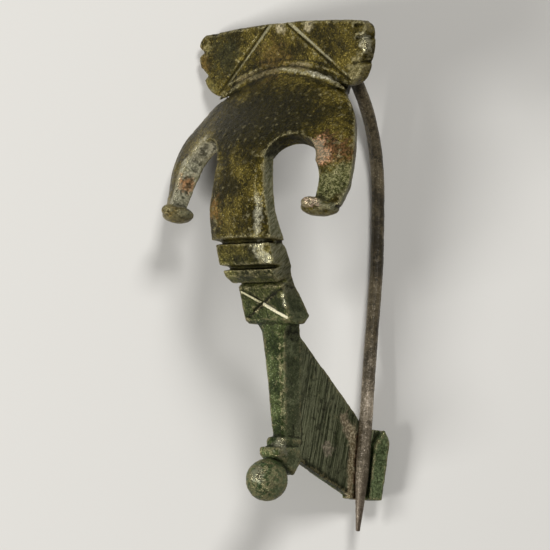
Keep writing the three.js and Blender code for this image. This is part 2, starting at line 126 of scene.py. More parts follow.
def groove_tool(start, end, outward, width, depth):
    """A bar with its sharp edge down, which leaves a V-shaped groove from start to end."""
    start, end = place(*start), place(*end)
    outward = heading(*outward)
    bpy.ops.object.select_all(action="DESELECT")
    bpy.ops.mesh.primitive_cube_add(size=1)
    tool = bpy.context.object
    tool.matrix_world = (Matrix.Translation((start + end) / 2)
                         @ turned_to(end - start, outward)
                         @ Matrix.Diagonal(((end - start).length, width * MM, depth * MM, 1))
                         @ Matrix.Rotation(math.radians(45), 4, "X"))
    settle(tool)
    return tool


def facet_tool(top, left, right, depth):
    """A block lying with one face on a plane through three corners, to take a flat facet off an edge."""
    top, left, right = (place(*corner) for corner in (top, left, right))
    along = (left + right) / 2 - top
    outward = (left - top).cross(right - top).normalized()
    bpy.ops.object.select_all(action="DESELECT")
    bpy.ops.mesh.primitive_cube_add(size=1)
    tool = bpy.context.object
    tool.matrix_world = (Matrix.Translation(top + along / 2 + outward * depth * MM / 2)
                         @ turned_to(along, outward)
                         @ Matrix.Diagonal((along.length, 2 * (right - left).length, depth * MM, 1)))
    settle(tool)
    return tool


def chip_tool(at, size, stretch=(1, 1, 1)):
    """A rough pebble that leaves a chip."""
    bpy.ops.object.select_all(action="DESELECT")
    bpy.ops.mesh.primitive_ico_sphere_add(subdivisions=2, radius=size * MM)
    tool = bpy.context.object
    tool.matrix_world = (Matrix.Translation(place(*at)) @ MAKER_AXES.to_4x4()
                         @ Matrix.Diagonal((*stretch, 1)))
    settle(tool)
    return tool


def cut(piece, tools):
    """Takes the tools' shapes out of a piece."""
    for tool in tools:
        finish_with(piece, "BOOLEAN", operation="DIFFERENCE", solver="EXACT", object=tool)
        bpy.data.objects.remove(tool)


def points_of(mesh):
    """A mesh's points, one in each row."""
    points = np.empty(3 * len(mesh.vertices))
    mesh.vertices.foreach_get("co", points)
    return points.reshape(-1, 3)


def store(mesh, name, kind, field, values):
    """Keeps a value or a colour for each point of a mesh, for its material to read."""
    mesh.attributes.new(name, kind, "POINT").data.foreach_set(field, values.astype(np.float32).ravel())


def roughen(piece, name, grain, depth):
    """Moves the surface in and out by a clouded amount: grain is its size, depth its reach."""
    clouds = bpy.data.textures.new(name, "CLOUDS")
    clouds.noise_scale = grain * MM
    clouds.noise_depth = 3
    finish_with(piece, "DISPLACE", texture=clouds, texture_coords="LOCAL", mid_level=0.5,
                strength=depth * MM)


def round_off(piece, name, spots, rounds):
    """Smooths a piece around spots, each a place and how far from it the rounding fades out."""
    points = points_of(piece.data)
    share = np.zeros(len(points))
    for at, reach in spots:
        apart = np.linalg.norm(points - np.array(place(*at)), axis=1) / (reach * MM)
        share = np.maximum(share, np.clip(2 - 2 * apart, 0, 1))
    group = piece.vertex_groups.new(name=name)
    for step in (0.25, 0.5, 0.75, 1.0):
        picked = np.nonzero((share > step - 0.25) & (share <= step))[0]
        group.add(picked.tolist(), step, "REPLACE")
    finish_with(piece, "SMOOTH", factor=0.5, iterations=rounds, vertex_group=name)


SPOT_FULL = 0.5         # a spot covers fully up to this share of its reach
SPOT_GONE = 1.15        # and not at all from this share on
RAGGED_GRAIN = 1.3      # lumps to the millimetre along the edges of spots
POLISH_RAGGED = 0.7


def lying_on(points, start, end, reach, wobble):
    """How far points lie on a ragged spot, or on a stroke up to its end: 1 in its middle, 0 outside."""
    away = points - np.array(start)
    if end:
        along = np.array(end) - np.array(start)
        away = away - np.outer(np.clip(away @ along / (along @ along), 0, 1), along)
    share = np.linalg.norm(away, axis=1) / reach + wobble
    depth = np.clip((SPOT_GONE - share) / (SPOT_GONE - SPOT_FULL), 0, 1)
    return depth * depth * (3 - 2 * depth)


def mark_wear_and_highlights(piece):
    """Stores the two colours and the cover of the stains and painted highlights, and how smoothly each point
    is worn, which also marks painted highlights.
    """
    points = (points_of(piece.data) - np.array(MAKER_ORIGIN)) @ np.array(MAKER_AXES) / MM
    ragged = np.array([fractal(point, 0.5, 2.0, 6) for point in points * RAGGED_GRAIN])
    ground, flecks = np.zeros((len(points), 4)), np.zeros((len(points), 4))
    for start, end, reach, raggedness, ground_code, fleck_code, strength in PATCHES:
        cover = strength * lying_on(points, start, end, reach, ragged * raggedness)[:, None]
        ground = ground * (1 - cover) + np.array(tint(ground_code)) * cover
        flecks = flecks * (1 - cover) + np.array(tint(fleck_code)) * cover
    smooth = np.zeros(len(points))
    for start, end, reach in POLISHED_AND_HIGHLIT:
        smooth = np.maximum(smooth, lying_on(points, start, end, reach, ragged * POLISH_RAGGED))
    store(piece.data, "stain and highlight ground", "FLOAT_COLOR", "color", ground)
    store(piece.data, "stain and highlight flecks", "FLOAT_COLOR", "color", flecks)
    store(piece.data, "smooth", "FLOAT", "value", smooth)


def mark_relief(piece, rounds=5):
    """Stores how far each point stands out of its surroundings, in hundredths of a millimetre."""
    mesh = piece.data
    points = points_of(mesh)
    normals = np.empty(3 * len(mesh.vertices))
    mesh.vertices.foreach_get("normal", normals)
    ends = np.empty(2 * len(mesh.edges), dtype=np.int64)
    mesh.edges.foreach_get("vertices", ends)
    one, other = ends.reshape(-1, 2).T
    count = np.bincount(one, minlength=len(points)) + np.bincount(other, minlength=len(points))

    def spread(values):
        total = (np.bincount(one, weights=values[other], minlength=len(values))
                 + np.bincount(other, weights=values[one], minlength=len(values)))
        return total / np.maximum(count, 1)

    soft = points.copy()
    for _ in range(rounds):
        soft = np.stack([spread(soft[:, axis]) for axis in range(3)], axis=1)
    relief = ((points - soft) * normals.reshape(-1, 3)).sum(axis=1) / (0.01 * MM)
    store(mesh, "relief", "FLOAT", "value", relief)


# ---------------------------------------------------------------- shader building

def tint(code):
    """A colour from its web code, as the shader wants it."""
    parts = [int(code[i:i + 2], 16) / 255 for i in (1, 3, 5)]
    return [p / 12.92 if p <= 0.04045 else ((p + 0.055) / 1.055) ** 2.4 for p in parts] + [1.0]


def add_node(tree, kind, inputs=None, **settings):
    """Adds a shader node; an input is a plain value, or another node's output that it is linked to."""
    node = tree.nodes.new(kind)
    for name, value in settings.items():
        setattr(node, name, value)
    for name, value in (inputs or {}).items():
        if isinstance(value, bpy.types.NodeSocket):
            tree.links.new(value, node.inputs[name])
        else:
            node.inputs[name].default_value = value
    return node


def noise(tree, where, scale, detail=4.0, roughness=0.55, distortion=0.0):
    """Cloudy values from 0 to 1, with scale lumps to the millimetre."""
    return add_node(tree, "ShaderNodeTexNoise", {
        "Vector": where, "Scale": scale, "Detail": detail, "Roughness": roughness, "Distortion": distortion,
    }).outputs["Fac"]


def between(tree, value, low, high, to_low=0.0, to_high=1.0):
    """Where a value lies between low and high, smoothly, as a number between two others."""
    return add_node(tree, "ShaderNodeMapRange", {
        "Value": value, "From Min": low, "From Max": high, "To Min": to_low, "To Max": to_high,
    }, interpolation_type="SMOOTHSTEP").outputs["Result"]


def maths(tree, operation, first, second=0.0, clamp=False):
    """One sum on two values."""
    return add_node(tree, "ShaderNodeMath", {0: first, 1: second}, operation=operation,
                    use_clamp=clamp).outputs[0]


def mixed(tree, share, under, over, blend="MIX"):
    """Two colours mixed by a mask."""
    node = add_node(tree, "ShaderNodeMix", data_type="RGBA", blend_type=blend)
    for name, value in (("Factor_Float", share), ("A_Color", under), ("B_Color", over)):
        socket = next(s for s in node.inputs if s.identifier == name)
        if isinstance(value, bpy.types.NodeSocket):
            tree.links.new(value, socket)
        else:
            socket.default_value = value
    return next(s for s in node.outputs if s.identifier == "Result_Color")


def new_group(name, inputs, outputs):
    """An empty shader node group with named sockets, and its inner ends."""
    group = bpy.data.node_groups.new(name, "ShaderNodeTree")
    for label, kind, value in inputs:
        socket = group.interface.new_socket(label, in_out="INPUT", socket_type="NodeSocket" + kind)
        if value is not None:
            socket.default_value = value
    for label, kind in outputs:
        group.interface.new_socket(label, in_out="OUTPUT", socket_type="NodeSocket" + kind)
    return group, group.nodes.new("NodeGroupInput").outputs, group.nodes.new("NodeGroupOutput").inputs


def stroke_group():
    """A thin line drawn on a surface: 1 on the line, 0 past its reach."""
    group, given, out = new_group("thin line", [
        ("Where", "Vector", None), ("Start", "Vector", None), ("Along", "Vector", None),
        ("Reach", "Float", 0.3),
    ], [("Mask", "Float")])

    def vector(operation, first, second):
        return add_node(group, "ShaderNodeVectorMath", {0: first, 1: second}, operation=operation).outputs

    away = vector("SUBTRACT", given["Where"], given["Start"])["Vector"]
    run = maths(group, "DIVIDE", vector("DOT_PRODUCT", away, given["Along"])["Value"],
                vector("DOT_PRODUCT", given["Along"], given["Along"])["Value"], clamp=True)
    nearest = add_node(group, "ShaderNodeVectorMath", {0: given["Along"], "Scale": run}, operation="SCALE")
    apart = vector("DISTANCE", away, nearest.outputs["Vector"])["Value"]
    share = maths(group, "DIVIDE", apart, given["Reach"])
    edge = maths(group, "SUBTRACT", noise(group, given["Where"], 2.5, 4.0, 0.7), 0.5)
    group.links.new(between(group, maths(group, "ADD", share, edge), 1.1, 0.6), out["Mask"])
    return group


def mottle_group():
    """Corrosion in three colours: a ground, clouds of a second colour and specks of a third."""
    group, given, out = new_group("mottled patina", [
        ("Where", "Vector", None), ("Ground", "Color", None), ("Clouds", "Color", None),
        ("Specks", "Color", None), ("Cloud share", "Float", 0.5), ("Speck share", "Float", 0.3),
    ], [("Color", "Color")])

    def over_half(value):
        return maths(group, "SUBTRACT", value, 0.5)

    drift = maths(group, "MULTIPLY", over_half(noise(group, given["Where"], 0.3, 2.0, 0.5)), 0.7)
    clouds = noise(group, given["Where"], 1.9, 6.0, 0.78, 0.5)
    cover = maths(group, "ADD", maths(group, "ADD", clouds, drift), over_half(given["Cloud share"]))
    ground = mixed(group, between(group, cover, 0.38, 0.64), given["Ground"], given["Clouds"])
    specks = noise(group, given["Where"], 4.4, 3.0, 0.7)
    dotted = maths(group, "ADD", maths(group, "ADD", specks, maths(group, "MULTIPLY", drift, 0.5)),
                   over_half(given["Speck share"]))
    mask = between(group, dotted, 0.5, 0.64)
    group.links.new(mixed(group, mask, ground, given["Specks"]), out["Color"])
    return group


def striation_group():
    """Fine file marks: long along one direction and narrow across it."""
    group, given, out = new_group("file marks", [
        ("Where", "Vector", None), ("Along", "Float", 0.12), ("Across", "Float", 3.0),
        ("Lean", "Float", 0.0),
    ], [("Marks", "Float"), ("Deep marks", "Float")])
    turn = add_node(group, "ShaderNodeVectorRotate", {"Vector": given["Where"], "Angle": given["Lean"]},
                    rotation_type="X_AXIS")
    parts = add_node(group, "ShaderNodeSeparateXYZ", {0: turn.outputs[0]})
    stretched = add_node(group, "ShaderNodeCombineXYZ", {
        "X": maths(group, "MULTIPLY", parts.outputs["X"], given["Across"]),
        "Y": maths(group, "MULTIPLY", parts.outputs["Y"], given["Along"]),
        "Z": maths(group, "MULTIPLY", parts.outputs["Z"], given["Across"]),
    }).outputs[0]
    group.links.new(noise(group, stretched, 1.0, 3.0, 0.75), out["Marks"])
    group.links.new(between(group, noise(group, stretched, 0.55, 3.0, 0.7), 0.55, 0.66), out["Deep marks"])
    return group


def pitting_group():
    """Height of a cast, corroded skin: broad unevenness, grains and small pits."""
    group, given, out = new_group("corroded skin", [
        ("Where", "Vector", None), ("Grain", "Float", 2.4), ("Pits", "Float", 0.6),
    ], [("Height", "Float"), ("Pits", "Float")])
    swells = noise(group, given["Where"], 0.9, 3.0, 0.6)
    grains = noise(group, given["Where"], given["Grain"], 5.0, 0.72)
    skin = maths(group, "ADD", maths(group, "MULTIPLY", swells, 1.2), grains)
    holes = between(group, noise(group, given["Where"], 2.6, 2.0, 0.5, 0.4), 0.34, 0.25)
    pits = maths(group, "MULTIPLY", holes, given["Pits"])
    group.links.new(maths(group, "SUBTRACT", skin, pits), out["Height"])
    group.links.new(pits, out["Pits"])
    return group


def wear_group():
    """Where a surface is rubbed, on its ridges, and where dirt stays, in its hollows."""
    group, given, out = new_group("edge wear", [
        ("Where", "Vector", None), ("Relief", "Float", 0.0),
    ], [("Rubbed", "Float"), ("Dirt", "Float")])
    uneven = between(group, noise(group, given["Where"], 1.6, 5.0, 0.7), 0.38, 0.62, 0.0, 1.2)
    ridge = maths(group, "MULTIPLY", given["Relief"], uneven)
    group.links.new(between(group, ridge, 0.8, 3.4), out["Rubbed"])
    group.links.new(between(group, given["Relief"], -0.5, -2.6), out["Dirt"])
    return group


GROUPS = {
    "stroke": stroke_group(),
    "mottle": mottle_group(),
    "striation": striation_group(),
    "pitting": pitting_group(),
    "wear": wear_group(),
}


def use(tree, name, **inputs):
    """Places a shared effect in a material with its own values."""
    values = {label.replace("_", " "): value for label, value in inputs.items()}
    return add_node(tree, "ShaderNodeGroup", values, node_tree=GROUPS[name]).outputs


def new_material(name, constants):
    """A material with a Principled BSDF, and where its points are in the maker's millimetres."""
    material = bpy.data.materials.new(name)
    material.use_nodes = True
    tree = material.node_tree
    tree.nodes.clear()
    shader = add_node(tree, "ShaderNodeBsdfPrincipled", constants)
    add_node(tree, "ShaderNodeOutputMaterial", {"Surface": shader.outputs[0]})
    own = add_node(tree, "ShaderNodeTexCoord").outputs["Object"]
    where = add_node(tree, "ShaderNodeMapping", {
        "Vector": own, "Location": MAKER_ORIGIN, "Rotation": MAKER_AXES.to_euler(), "Scale": (MM, MM, MM),
    }, vector_type="TEXTURE").outputs[0]
    return material, tree, shader, where


def from_mesh(tree, name):
    """What a piece's mesh holds under a name: its colour, its value and its cover."""
    return add_node(tree, "ShaderNodeAttribute", attribute_name=name).outputs


def facing(tree, x, y, z):
    """How squarely a surface faces a direction of the maker's frame: -1 to 1."""
    normal = add_node(tree, "ShaderNodeNewGeometry").outputs["Normal"]
    return add_node(tree, "ShaderNodeVectorMath", {0: normal, 1: heading(x, y, z)},
                    operation="DOT_PRODUCT").outputs["Value"]


def mottled(tree, where, name):
    """A piece's or a place's own mottle, from its three colours and its share of specks."""
    ground, clouds, specks, share = MOTTLES[name]
    return use(tree, "mottle", Where=where, Ground=tint(ground), Clouds=tint(clouds), Specks=tint(specks),
               Speck_share=share)["Color"]


def dent(tree, shader, height, strength, depth):
    """Gives a material its fine relief, up to a depth in millimetres."""
    bump = add_node(tree, "ShaderNodeBump", {"Strength": strength, "Distance": depth * MM, "Height": height})
    tree.links.new(bump.outputs[0], shader.inputs["Normal"])


# Ground, clouds, specks, and how much of the surface the specks take.
MOTTLES = {
    "front": ("#1f1b06", "#4c4215", "#968644", 0.44),
    "foot": ("#1a2410", "#414b29", "#818c62", 0.43),
    "foot sides": ("#41472f", "#6e7355", "#a0a17f", 0.42),
    "axle": ("#3b2a1a", "#6b4526", "#8d6a3e", 0.4),
    "pin": ("#332c1c", "#655a43", "#9a8c70", 0.42),
    "rubbed pin": ("#665c4a", "#a99b85", "#e2d3bf", 0.46),
}


# ---------------------------------------------------------------- cast body

# Where one finish gives way to the next, in the maker's millimetres, and its colours.
BROWN_TO_GREEN = (-22.0, -36.0)       # down the front, in y
UNDER_COWL = (-9.5, -12.5)            # the cut sides begin, in y
FOOT_FROM = (-29.5, -31.5)            # the block, rib and collar, in y
CATCH_FROM = (-5.0, -8.0)             # the catch plate, in z
SIDEWAYS = (0.55, 0.82)               # how squarely a cut side faces across
CATCH_MARKS = ("#272c1b", "#888a6c")  # file marks, low and high
SIDE_MARKS = ("#4a4b30", "#918f75")
DEEP_MARK = "#22231a"
RUBBED = "#938b68"
DIRT = "#14140b"
# paler colour of places worn smooth: partly real wear, partly a painted highlight
POLISH_AND_HIGHLIGHT = "#aca88e"
BODY_PITS = "#0f0f08"
SHEEN = "#b3a87c"

BODY_SKIN = 0.12                      # size of the skin's meshes, in millimetres
BODY_FACES = 98000
FACET_TOOL = 1.5                      # how thick the block is that takes a facet off

PLATE_LEAN = 0.14                     # how much the plate's face rises for each millimetre headward
LOBE_GROOVE = {"width": 0.5, "depth": 0.7}
LOBE_LINES = [      # x, y at the end of the plate and how far each line runs in over the face
    (13.4, -1.5, 1.5), (14.2, 1.6, 1.5), (13.6, 3.1, 1.2), (-15.1, -1.5, 1.1), (-15.6, 1.6, 1.1),
]
EDGE_CHIPS = [      # where, how large, and how far it is stretched across, along and out
    ((-0.7, 4.7, 1.0), 0.8, (0.7, 1.5, 0.9)), ((4.5, 4.5, 1.0), 0.8, (0.8, 1.4, 0.9)),
    ((-12.6, 3.9, 0.8), 0.6, (1.5, 0.8, 1)), ((12.9, 4.2, 0.8), 0.5, (1, 1, 1)),
]

# Flat facets on the right edge of the stem and of the upper band: their upper, lower left and lower
# right corners.
FACETS = [((4.6, -18.0, 6.75), (2.9, -24.45, 6.08), (4.9, -24.45, 5.35)),
          ((4.0, -24.9, 4.98), (3.2, -27.5, 4.3), (4.8, -27.5, 3.72))]

# Places worn round: rounds of smoothing, then each spot and its reach.
ROUNDED = [
    ("crescent", 14, [((x, -2.1 - x * x / 46, 0.2), 2.2) for x in range(-10, 11, 2)]),
    ("bands", 14, [((x, y, z), 4.0) for x in (-3, 3) for y, z in ((-25.5, 4.8), (-28.3, 3.2))]),
    ("corners", 30, [((0.9, -49.9, -4.6), 3.3), ((-1.2, -50.2, -3.6), 2.4), ((3.6, -46.4, -20.2), 2.6),
                     ((3.1, -54.9, -20.3), 2.2), ((4.1, -34.0, -2.4), 2.4), ((1.0, -51.9, -6.8), 2.2),
                     ((-11.4, -5.0, 0.0), 1.8), ((11.4, -5.0, 0.0), 1.6)]),
    ("tips", 8, [((12.6, -20.6, 5.0), 3.4), ((-12.6, -20.6, 5.0), 3.4)]),
    ("ball", 12, [((0.0, -54.6, -2.7), 3.4)]),
]

# Worn and stained places, and a few painted highlights: start and end of a line, or one point and None, then
# reach, raggedness, ground, flecks, and how strongly it all covers.
PATCHES = [
    # the dark middle of the cowl
    ((-2.0, -9.0, 4.8), (5.0, -8.0, 4.6), 6.5, 0.35, "#0c0b02", "#282406", 0.94),
    # brown, then bare copper, and green on the right arm
    ((12.4, -12.9, 4.3), (15.0, -13.8, 3.3), 2.1, 0.6, "#241c10", "#69492f", 0.85),
    ((11.5, -12.2, 4.4), (12.8, -14.4, 4.4), 1.0, 0.7, "#4c3421", "#d09c72", 0.85),
    ((13.6, -18.3, 4.9), (15.4, -16.6, 3.6), 2.1, 0.4, "#33371b", "#86845c", 0.85),
    # the pale inner face of the left arm, with its orange spot
    ((-8.6, -11.7, 3.7), (-11.4, -14.8, 4.3), 1.6, 0.25, "#858069", "#bbb49a", 0.9),
    ((-11.4, -14.8, 4.3), (-12.5, -19.3, 4.6), 1.7, 0.25, "#7f7d66", "#b5b097", 0.9),
    ((-12.1, -16.6, 4.2), None, 1.2, 0.7, "#6f5236", "#c08650", 0.8),
    # the left end and the face of the head plate
    ((-15.2, 0.4, 0.0), None, 1.9, 0.6, "#3d3118", "#7a6232", 0.7),
    ((-14.0, 1.9, 0.4), None, 0.9, 0.8, "#575026", "#a89c6c", 0.7),
    ((-13.6, -3.0, -0.3), None, 1.8, 0.6, "#4d4722", "#8b7f45", 0.7),
    ((-10.6, 0.9, 0.3), None, 2.9, 0.6, "#15160c", "#3c3b22", 0.8),
    ((-1.7, -0.4, 0.1), None, 3.0, 0.7, "#372c12", "#7b6234", 0.5),
    # the foot of the crescent, then painted highlights along its crest
    ((-8.0, -2.6, -0.1), (4.0, -1.5, 0.2), 0.8, 0.5, "#5b5336", "#98896a", 0.6),
    ((-1.0, -1.3, 0.7), (10.4, -3.9, 0.1), 0.3, 0.5, "#807b5c", "#cfc9a9", 0.7),
    ((5.0, -2.2, 0.6), (9.6, -3.6, 0.2), 0.35, 0.9, "#a29c7c", "#f0ecd8", 0.85),
    # the chips in the upper edge of the plate, and painted glints on the lobes of its right end
    ((-0.7, 3.8, 0.6), None, 0.85, 0.5, "#8c8263", "#c9bc98", 0.85),
    ((4.5, 3.7, 0.6), None, 0.85, 0.5, "#8c8263", "#c9bc98", 0.85),
    ((13.8, 1.5, -0.1), (14.3, 0.5, -0.2), 0.8, 0.7, "#4b4727", "#d8d0ae", 0.85),
    ((13.0, -1.4, -0.4), (12.2, -2.8, -0.3), 1.2, 0.8, "#57512e", "#a0946a", 0.7),
    # the tips of the arms, and the left edge of the stem
    ((12.6, -20.2, 6.9), (13.6, -20.2, 6.6), 0.8, 0.5, "#6d4d3c", "#ecc2ac", 0.85),
    ((-12.4, -20.2, 6.4), None, 1.3, 0.5, "#3a341c", "#9d8a58", 0.8),
    ((-3.9, -20.6, 6.9), None, 1.6, 0.7, "#4f3a1a", "#8c6a38", 0.7),
    # a pale spot on the catch plate, and the crust along the trough
    ((0.65, -49.0, -12.8), None, 1.0, 0.7, "#7b7462", "#b5a691", 0.8),
    ((0.65, -45.0, -15.4), (0.65, -47.0, -16.8), 0.8, 0.6, "#86775f", "#cbbb9e", 0.85),
    ((0.65, -51.4, -8.6), (0.65, -54.9, -18.0), 0.8, 0.25, "#10130a", "#262a18", 0.9),
    ((0.65, -46.0, -17.2), (0.65, -54.8, -17.6), 0.8, 0.5, "#7d6c50", "#d0c2a0", 0.85),
    ((0.65, -47.0, -18.2), (0.65, -55.0, -18.4), 0.55, 0.6, "#2b1d12", "#6f5034", 0.9),
    # the lip of the trough, and the ball
    ((3.6, -46.0, -20.2), (3.0, -55.0, -20.3), 1.8, 0.2, "#333f25", "#707f57", 0.8),
    ((0.0, -54.1, -2.7), None, 2.9, 0.1, "#1a2d18", "#71865a", 0.75),
]

# Lines that stand out in one colour, among them painted shade and painted highlights: start, end, half
# width, colour and how strongly it covers.
STROKES = [
    # the two lines of the triangle
    ((-11.6, -4.1, -0.1), (-2.4, 4.2, 0.8), 0.3, "#8e896c", 0.75),
    ((12.5, -4.1, -0.1), (0.9, 4.3, 0.8), 0.3, "#a09b80", 0.75),
    # the saltire: painted shade along one groove, and painted highlight on the lit wall of the other
    ((3.7, -30.2, 1.05), (-3.7, -33.7, -0.65), 0.3, "#0b0d05", 0.95),
    ((0.0, -32.0, 0.35), (-3.4, -30.5, 1.15), 0.16, "#cfc8a2", 0.85),
    ((0.0, -32.0, 0.35), (3.5, -33.65, -0.5), 0.25, "#e6dfbe", 0.95),
]

# Places worn smooth, where highlights fall, which are also painted paler as highlights: start and end of a
# line, and its reach.
POLISHED_AND_HIGHLIT = [
    ((3.9, -19.6, 6.8), (3.6, -24.2, 6.0), 0.6), ((2.9, -25.5, 5.0), (3.8, -26.6, 4.6), 1.1),
    ((3.8, -31.0, 1.0), (3.8, -32.2, 0.3), 0.3), ((0.4, -53.4, -0.3), (0.9, -54.2, 0.0), 0.9),
    ((12.6, -20.2, 6.9), (13.6, -20.2, 6.6), 0.8), ((0.9, -49.2, -3.4), (1.3, -50.4, -3.6), 0.8),
    ((11.3, -12.4, 4.4), (12.6, -14.2, 4.5), 0.8), ((14.0, 1.4, -0.1), (14.4, 0.4, -0.3), 0.7),
    ((4.6, -2.1, 0.6), (9.8, -3.7, 0.1), 0.4), ((-12.6, -17.0, 4.9), (-12.9, -20.0, 5.4), 0.5),
]


def plate_face(y):
    """Height of the head plate's leaning face."""
    return PLATE_LEAN * (y + 1.0)


def lobe_lines():
    """Short grooves that run in over the face from between the lobes of the plate's ends."""
    tools = []
    for x, y, run in LOBE_LINES:
        side = math.copysign(1, x)
        start = (x + 1.2 * side, y + 0.1, plate_face(y) + 0.02)
        end = (x - run * side, y - 0.15, plate_face(y) + 0.14)
        tools.append(groove_tool(start, end, (0, -PLATE_LEAN, 1), **LOBE_GROOVE))
    return tools


def cast_body():
    """The cast body with its notches, chips and worn edges, as one skin."""
    body = merged_copy("brooch_body", "cast_body")
    cut(body, lobe_lines())
    cut(body, [chip_tool(*chip) for chip in EDGE_CHIPS])
    cut(body, [facet_tool(*corners, FACET_TOOL) for corners in FACETS])
    finish_with(body, "REMESH", mode="VOXEL", voxel_size=BODY_SKIN * MM, adaptivity=0.0)
    finish_with(body, "SMOOTH", factor=0.5, iterations=2)
    for name, rounds, spots in ROUNDED:
        round_off(body, name, spots, rounds)
    roughen(body, "hammered unevenness", 3.0, 0.18)
    roughen(body, "cast grain", 0.7, 0.09)
    kept = min(1.0, BODY_FACES / len(body.data.polygons))
    finish_with(body, "DECIMATE", decimate_type="COLLAPSE", ratio=kept)
    bpy.ops.object.shade_smooth()
    mark_relief(body)
    mark_wear_and_highlights(body)
    return body


def patina():
    """Olive-brown patina, rubbed on its ridges, with file marks on the sides, worn and stained patches,
    painted highlights, and painted shade along the saltire.
    """
    material, tree, shader, where = new_material("bronze patina", {"Specular IOR Level": 0.15})
    wear = use(tree, "wear", Where=where, Relief=from_mesh(tree, "relief")["Fac"])
    skin = use(tree, "pitting", Where=where, Grain=3.4, Pits=0.5)
    smooth = from_mesh(tree, "smooth")["Fac"]
    parts = add_node(tree, "ShaderNodeSeparateXYZ", {0: where}).outputs

    def product(first, second):
        return maths(tree, "MULTIPLY", first, second)

    sideways = between(tree, maths(tree, "ABSOLUTE", facing(tree, 1, 0, 0)), *SIDEWAYS)
    cut_face = product(sideways, between(tree, parts["Y"], *UNDER_COWL))
    on_catch = between(tree, parts["Z"], *CATCH_FROM)
    off_catch = maths(tree, "SUBTRACT", 1.0, on_catch)
    foot_side = product(between(tree, parts["Y"], *FOOT_FROM), off_catch)

    filed = use(tree, "striation", Where=where, Along=0.12, Across=4.5, Lean=0.12)
    scraped = use(tree, "striation", Where=where, Along=0.9, Across=6.0, Lean=0.75)
    marks = maths(tree, "ADD", product(filed["Marks"], on_catch), product(scraped["Marks"], off_catch))
    low, high = (mixed(tree, on_catch, tint(side), tint(catch))
                 for side, catch in zip(SIDE_MARKS, CATCH_MARKS))
    sides = mixed(tree, between(tree, marks, 0.36, 0.66), low, high)
    sides = mixed(tree, product(product(filed["Deep marks"], on_catch), 0.7), sides, tint(DEEP_MARK))
    sides = mixed(tree, foot_side, sides, mottled(tree, where, "foot sides"))

    footward = between(tree, parts["Y"], *BROWN_TO_GREEN)
    colour = mixed(tree, footward, mottled(tree, where, "front"), mottled(tree, where, "foot"))
    colour = mixed(tree, product(cut_face, 0.85), colour, sides)
    # stains, with painted highlights, and the saltire's painted shade and highlight
    colour = stained(tree, where, colour)
    colour = mixed(tree, product(wear["Rubbed"], 0.5), colour, tint(RUBBED))
    colour = mixed(tree, product(wear["Dirt"], 0.7), colour, tint(DIRT))
    # paler where worn smooth, which also stands in for the highlights there: partly real wear, partly
    # painted highlight
    colour = mixed(tree, product(smooth, 0.4), colour, tint(POLISH_AND_HIGHLIGHT))
    colour = mixed(tree, skin["Pits"], colour, tint(BODY_PITS))
    tree.links.new(colour, shader.inputs["Base Color"])

    sheen = mixed(tree, smooth, tint(SHEEN), tint("#ffffff"))
    tree.links.new(sheen, shader.inputs["Specular Tint"])
    dull = between(tree, noise(tree, where, 2.2, 5.0, 0.7), 0.3, 0.7, 0.22, 0.42)
    dull = maths(tree, "ADD", dull, product(cut_face, 0.1))
    dull = maths(tree, "SUBTRACT", dull, product(wear["Rubbed"], 0.12))
    dull = product(dull, between(tree, smooth, 0.0, 1.0, 1.0, 0.62))
    tree.links.new(dull, shader.inputs["Roughness"])
    shine = maths(tree, "ADD", product(wear["Rubbed"], 0.4), product(smooth, 0.4))
    tree.links.new(maths(tree, "ADD", shine, 0.08), shader.inputs["Metallic"])

    tooled = product(product(marks, cut_face), between(tree, foot_side, 0.0, 1.0, 1.3, 0.2))
    level = maths(tree, "SUBTRACT", skin["Height"], 1.1)
    rough = product(level, between(tree, smooth, 0.0, 1.0, 1.0, 0.7))
    dent(tree, shader, maths(tree, "ADD", rough, tooled), 1.0, 0.14)
    return material


def stained(tree, where, colour):
    """A colour with the stored stains and painted highlights laid over it, and then the lines that stand
    out, some of them painted shade and painted highlight.
    """
    ground, flecks = from_mesh(tree, "stain and highlight ground"), from_mesh(tree, "stain and highlight flecks")
    flecked = between(tree, noise(tree, where, 3.4, 4.0, 0.75, 0.4), 0.44, 0.6)
    stain_and_highlight = mixed(tree, flecked, ground["Color"], flecks["Color"])
    uncovered = mixed(tree, ground["Alpha"], colour, (0, 0, 0, 1))
    colour = mixed(tree, 1.0, uncovered, stain_and_highlight, "ADD")
    for start, end, reach, code, strength in STROKES:
        along = Vector(end) - Vector(start)
        line = use(tree, "stroke", Where=where, Start=start, Along=along, Reach=reach)
        colour = mixed(tree, maths(tree, "MULTIPLY", line["Mask"], strength), colour, tint(code))
    return colour


# ---------------------------------------------------------------- hinge axle

AXLE = {"radius": 0.6, "length": 4.7, "bevel": 0.12, "skin": 0.07}      # in millimetres


def axle_rod():
    """Axle whose two ends are hammered over into low domes."""
    low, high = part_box("hinge_axle")
    bpy.ops.object.select_all(action="DESELECT")
    bpy.ops.mesh.primitive_cylinder_add(vertices=32, radius=AXLE["radius"] * MM, depth=AXLE["length"] * MM)
    rod = bpy.context.object
    rod.name = rod.data.name = "axle_rod"
    bpy.ops.object.mode_set(mode="EDIT")
    bpy.ops.mesh.select_all(action="SELECT")
    bpy.ops.mesh.bevel(offset=AXLE["bevel"] * MM, segments=3)
    bpy.ops.object.mode_set(mode="OBJECT")
    rod.matrix_world = Matrix.Translation((low + high) / 2) @ turned_to(HEADWARD, ACROSS)
    settle(rod)
    finish_with(rod, "REMESH", mode="VOXEL", voxel_size=AXLE["skin"] * MM)
    finish_with(rod, "SMOOTH", factor=0.5, iterations=3)
    roughen(rod, "hammer marks", 0.5, 0.04)
    bpy.ops.object.shade_smooth()
    return rod


